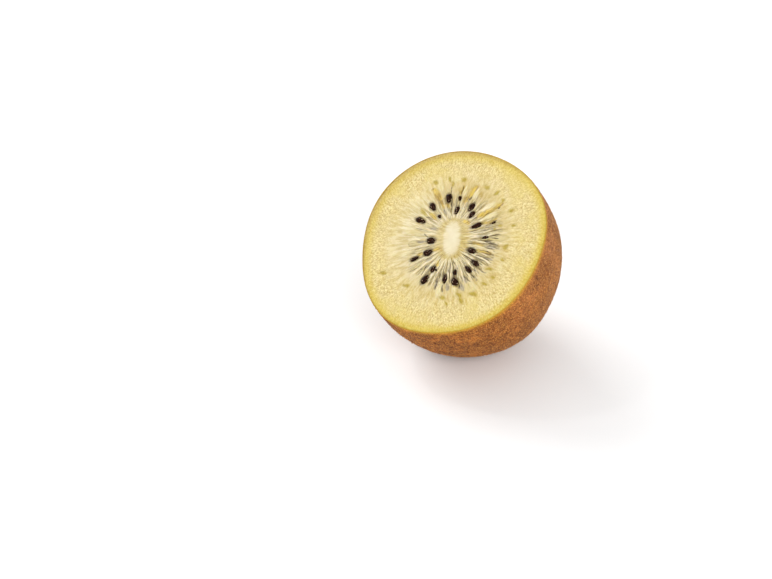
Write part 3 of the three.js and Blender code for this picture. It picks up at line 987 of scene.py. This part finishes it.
def build_down():
    """Roots spread evenly over the skin, and each hair leans its own way."""
    draw = np.random.default_rng(3)
    table = np.linspace(0, 1, PROFILE_STEPS)
    radius_table, height_table = profile(table)
    step = np.hypot(np.diff(radius_table), np.diff(height_table))
    area = np.concatenate([[0], np.cumsum(step * (radius_table[1:] + radius_table[:-1]) / 2)])
    shares = np.interp(draw.uniform(0.004, 0.996, HAIR_COUNT) * area[-1], area, table)
    angles = draw.uniform(0, 2 * math.pi, HAIR_COUNT)

    def on_skin(turn, share):
        radius, height = profile(share)
        height = height + stem_end_shift(radius)
        around = radius * outline_swell(turn)
        return np.stack([around * np.cos(turn), around * np.sin(turn) + axis_shift(height), height], -1)

    root = on_skin(angles, shares)
    round_way = on_skin(angles + 1e-4, shares) - root
    up_way = on_skin(angles, np.minimum(shares + 1e-4, 1)) - on_skin(angles, shares - 1e-4)
    round_way /= np.linalg.norm(round_way, axis=-1, keepdims=True)
    up_way /= np.linalg.norm(up_way, axis=-1, keepdims=True)
    out = np.cross(round_way, up_way)
    heading = draw.normal(-math.pi / 2, HAIR_SPREAD, HAIR_COUNT)[:, None]
    lift = np.radians(draw.uniform(*HAIR_LIFT, HAIR_COUNT))[:, None]
    length = draw.uniform(*HAIR_LENGTH, HAIR_COUNT)[:, None]
    flat_way = round_way * np.cos(heading) + up_way * np.sin(heading)
    side_way = np.cross(out, flat_way)
    bumps = skin_bumps(root[:, None], shares)[:, 0]
    root = pushed_out(root, bumps - HAIR_ROOT_DEPTH, GROWTH_MIDDLE)
    tip = root + length * (flat_way * np.cos(lift) + out * np.sin(lift))
    corners = []
    for turn in (math.pi / 2, math.pi * 7 / 6, math.pi * 11 / 6):
        corners.append(root + HAIR_HALF_WIDTH * (side_way * math.cos(turn) + out * math.sin(turn)))
    keep = in_frame(tip)[:, 2] > HAIR_OFF_TABLE * MM
    keep &= tip[:, 2] < CUT_PAST_WAIST - HAIR_BELOW_CUT
    points = np.stack(corners + [tip], 1)[keep]
    vertices = in_frame(points.reshape(-1, 3))
    faces = []
    for first in range(0, len(vertices), 4):
        a, b, c, d = range(first, first + 4)
        faces += [(a, b, d), (b, c, d), (c, a, d), (c, b, a)]
    lower_side = np.repeat(toward_lower_side(angles)[keep], 4)
    return make_piece("kiwi_down", vertices, faces, kiwi_down(), {"lower_side": lower_side})


# Table top, in metres: its half width, and how far it lies under the flat spot to keep clear of it
TABLE_HALF_WIDTH = 6.0
TABLE_DROP = 0.00005


def build_floor():
    """A plain pale table top, wide enough to fill every view."""
    material, tree, patterns = start_material("pale_table", {"shade": (None, 60, 2.0, 0.5)})
    colour = lay_colours(tree, patterns, [(None, 1, "shade", 0.3, 0.7, "f4f4f4", "f7f7f7")])
    finish_material(tree, colour, (patterns["shade"], 0.85, 0.9), [], {"Specular IOR Level": 0.2})
    corners = [
        (side_x * TABLE_HALF_WIDTH, side_y * TABLE_HALF_WIDTH, -TABLE_DROP)
        for side_x, side_y in ((-1, -1), (1, -1), (1, 1), (-1, 1))
    ]
    mesh = bpy.data.meshes.new("table_top")
    mesh.from_pydata(corners, [], [(0, 1, 2, 3)])
    mesh.materials.append(material)
    floor = bpy.data.objects.new("table_top", mesh)
    bpy.context.scene.collection.objects.link(floor)


# Camera and light

VIEW_AZIMUTH = math.radians(38.2)
VIEW_ELEVATION = math.radians(35.0)
VIEW_DISTANCE = 650
SENSOR = 36.0
FRAME_WIDTH, FRAME_HEIGHT = 772, 579
# Where the middle of the cut face stands in the frame, and the size of a pixel there
FACE_PIXEL = (451.3, 240.8)
MM_PER_PIXEL = 0.2716
# Square lamps: name, direction from the fruit, size in metres and power in watts
LAMPS = (
    ("key", (-0.85, 0.10, 0.52), 0.68, 5.4),
    ("fill", (0.72, -0.48, 0.50), 0.50, 4.5),
    ("glint", (-0.50, -0.20, 0.85), 0.06, 0.4),
)
LAMP_DISTANCE = 0.9
LAMP_AIM = Vector((0, 0, 0.025))
# Strength of the white surroundings
SURROUNDINGS = 0.74


def build_camera():
    """A long lens that looks down on the cut face from its right."""
    back = Vector((
        math.sin(VIEW_AZIMUTH) * math.cos(VIEW_ELEVATION),
        -math.cos(VIEW_AZIMUTH) * math.cos(VIEW_ELEVATION),
        math.sin(VIEW_ELEVATION),
    ))
    right = Vector((math.cos(VIEW_AZIMUTH), math.sin(VIEW_AZIMUTH), 0))
    up = back.cross(right)
    face_middle = Vector(in_frame(np.array((0.0, 0.0, CUT_PAST_WAIST))))
    place = face_middle + back * VIEW_DISTANCE * MM
    aside = (FACE_PIXEL[0] - FRAME_WIDTH / 2) * MM_PER_PIXEL * MM
    above = (FRAME_HEIGHT / 2 - FACE_PIXEL[1]) * MM_PER_PIXEL * MM
    aim = face_middle - right * aside - up * above
    axis = (place - aim).normalized()
    level = (right - axis * right.dot(axis)).normalized()
    turn = Matrix((level, axis.cross(level), axis)).transposed()
    data = bpy.data.cameras.new("camera")
    data.sensor_width = SENSOR
    data.lens = SENSOR * VIEW_DISTANCE / (FRAME_WIDTH * MM_PER_PIXEL)
    data.clip_start, data.clip_end = 0.01, 50
    camera = bpy.data.objects.new("camera", data)
    camera.matrix_world = Matrix.Translation(place) @ turn.to_4x4()
    bpy.context.scene.collection.objects.link(camera)
    bpy.context.scene.camera = camera


def build_light():
    """White surroundings, large soft lamps at the left and the right, and a small one for glints."""
    world = bpy.data.worlds.new("white_studio")
    world.use_nodes = True
    background = world.node_tree.nodes["Background"]
    background.inputs["Color"].default_value = (1, 1, 1, 1)
    background.inputs["Strength"].default_value = SURROUNDINGS
    bpy.context.scene.world = world
    for name, direction, size, power in LAMPS:
        data = bpy.data.lights.new(name, "AREA")
        data.size = size
        data.energy = power
        lamp = bpy.data.objects.new(name, data)
        away = Vector(direction).normalized()
        lamp.location = away * LAMP_DISTANCE + LAMP_AIM
        lamp.rotation_mode = "QUATERNION"
        lamp.rotation_quaternion = away.to_track_quat("Z", "Y")
        bpy.context.scene.collection.objects.link(lamp)
    bpy.context.scene.view_settings.view_transform = "Standard"


build_camera()
build_skin()
build_flesh()
build_seeds()
build_down()
build_floor()
build_light()
